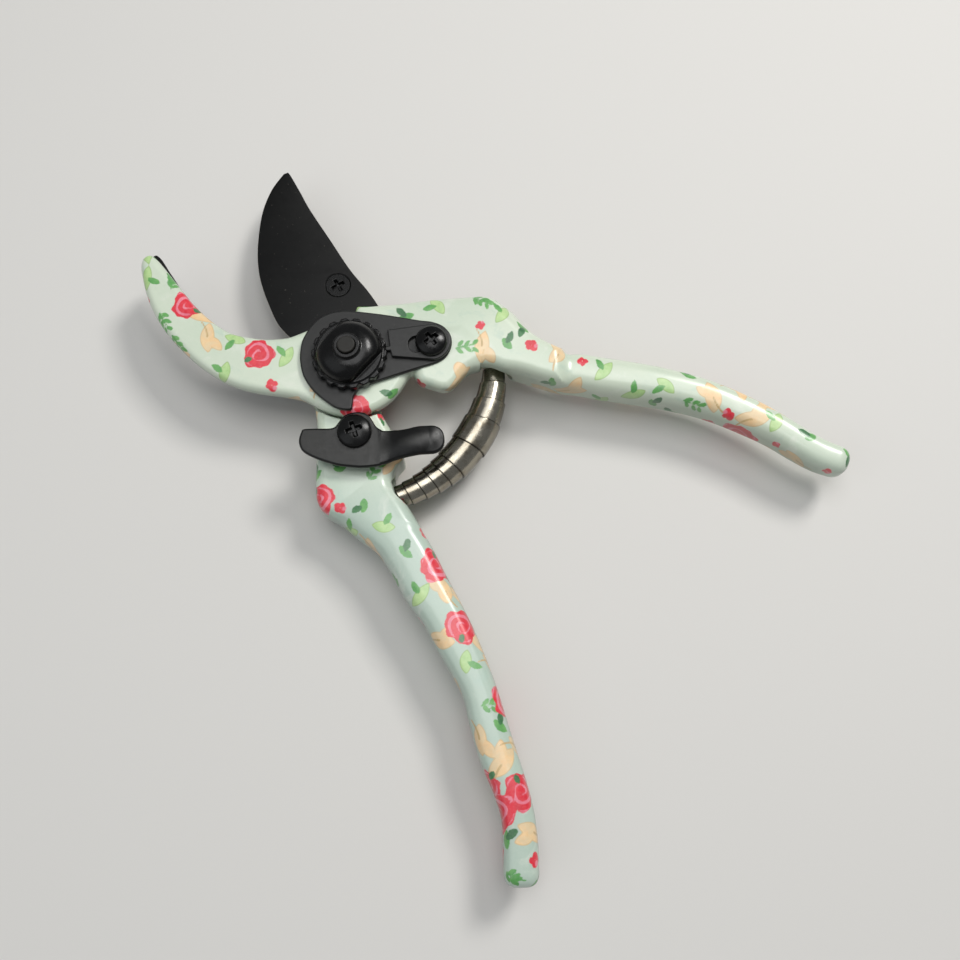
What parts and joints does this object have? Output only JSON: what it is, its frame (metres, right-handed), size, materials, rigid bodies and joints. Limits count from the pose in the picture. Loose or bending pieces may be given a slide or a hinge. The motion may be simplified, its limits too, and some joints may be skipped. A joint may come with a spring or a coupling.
{
  "type": "bypass hand pruner",
  "caption": "Bypass hand pruner with curved blade over a hooked counter blade, flower-printed forged handles, strip return spring, thumb latch and locking pivot nut.",
  "frame": {"origin": "on the pivot axis, at the flat face of the pivot bolt head, the lowest plane of the tool", "axes": "+Z along the pivot axis towards the adjusting nut; when open, the upper handle runs towards +X, the lower handle towards -Y and the cutting blade towards +Y"},
  "size_m": [0.1955, 0.1973, 0.0295],
  "materials": {
    "paint": "glossy clear coat over a mint ground with a printed flower pattern",
    "blade": "satin black non-stick coating",
    "plate": "satin black",
    "hardware": "glossy black",
    "spring": "bright nickel",
    "steel": "plain steel",
    "bronze": "plain bronze"
  },
  "bodies": {
    "lower": {"lower_handle": "paint", "cutting_blade": "blade", "blade_screw": "hardware", "pivot_bush": "bronze", "thrust_washer": "steel", "latch_screw": "hardware", "latch_washer": "steel", "spring_turn_1": "spring"},
    "upper": {"upper_handle": "paint", "counter_blade": "blade", "counter_blade_rivets": "steel", "pivot_bolt": "hardware", "adjusting_nut": "hardware", "lock_plate": "plate", "lock_screw": "hardware", "spring_turn_10": "spring"},
    "latch": {"latch": "plate"},
    "slider": {"lock_slider": "plate"},
    "turn_2": {"spring_turn_2": "spring"},
    "turn_3": {"spring_turn_3": "spring"},
    "turn_4": {"spring_turn_4": "spring"},
    "turn_5": {"spring_turn_5": "spring"},
    "turn_6": {"spring_turn_6": "spring"},
    "turn_7": {"spring_turn_7": "spring"},
    "turn_8": {"spring_turn_8": "spring"},
    "turn_9": {"spring_turn_9": "spring"}
  },
  "joints": [
    {"name": "handle_pivot", "type": "hinge", "parent": "lower", "child": "upper", "pos_m": [0, 0, 0.0116], "axis": [0, 0, 1], "range_deg": [-41.3, 0]},
    {"name": "latch_turn", "type": "hinge", "parent": "lower", "child": "latch", "pos_m": [0.002, -0.0215, 0.0206], "axis": [0, 0, 1], "range_deg": [-40, 0]},
    {"name": "slider_slide", "type": "slide", "parent": "upper", "child": "slider", "axis": [0.9869, 0.1616, 0], "range_m": [0, 0.003]},
    {"name": "spring_turn_2_follow", "type": "hinge", "parent": "lower", "child": "turn_2", "pos_m": [0, 0, 0], "axis": [0, 0, 1], "range_deg": [-3.75, 0]},
    {"name": "spring_turn_3_follow", "type": "hinge", "parent": "lower", "child": "turn_3", "pos_m": [0, 0, 0], "axis": [0, 0, 1], "range_deg": [-9.1, 0]},
    {"name": "spring_turn_4_follow", "type": "hinge", "parent": "lower", "child": "turn_4", "pos_m": [0, 0, 0], "axis": [0, 0, 1], "range_deg": [-14.05, 0]},
    {"name": "spring_turn_5_follow", "type": "hinge", "parent": "lower", "child": "turn_5", "pos_m": [0, 0, 0], "axis": [0, 0, 1], "range_deg": [-18.9, 0]},
    {"name": "spring_turn_6_follow", "type": "hinge", "parent": "lower", "child": "turn_6", "pos_m": [0, 0, 0], "axis": [0, 0, 1], "range_deg": [-24.05, 0]},
    {"name": "spring_turn_7_follow", "type": "hinge", "parent": "lower", "child": "turn_7", "pos_m": [0, 0, 0], "axis": [0, 0, 1], "range_deg": [-26.7, 0]},
    {"name": "spring_turn_8_follow", "type": "hinge", "parent": "lower", "child": "turn_8", "pos_m": [0, 0, 0], "axis": [0, 0, 1], "range_deg": [-28.1, 0]},
    {"name": "spring_turn_9_follow", "type": "hinge", "parent": "lower", "child": "turn_9", "pos_m": [0, 0, 0], "axis": [0, 0, 1], "range_deg": [-35.8, 0]}
  ],
  "couplings": [
    {"joint": "spring_turn_2_follow", "follows": "handle_pivot", "ratio": 0.086},
    {"joint": "spring_turn_3_follow", "follows": "handle_pivot", "ratio": 0.2155},
    {"joint": "spring_turn_4_follow", "follows": "handle_pivot", "ratio": 0.3353},
    {"joint": "spring_turn_5_follow", "follows": "handle_pivot", "ratio": 0.4528},
    {"joint": "spring_turn_6_follow", "follows": "handle_pivot", "ratio": 0.5775},
    {"joint": "spring_turn_7_follow", "follows": "handle_pivot", "ratio": 0.6416},
    {"joint": "spring_turn_8_follow", "follows": "handle_pivot", "ratio": 0.6755},
    {"joint": "spring_turn_9_follow", "follows": "handle_pivot", "ratio": 0.862}
  ]
}
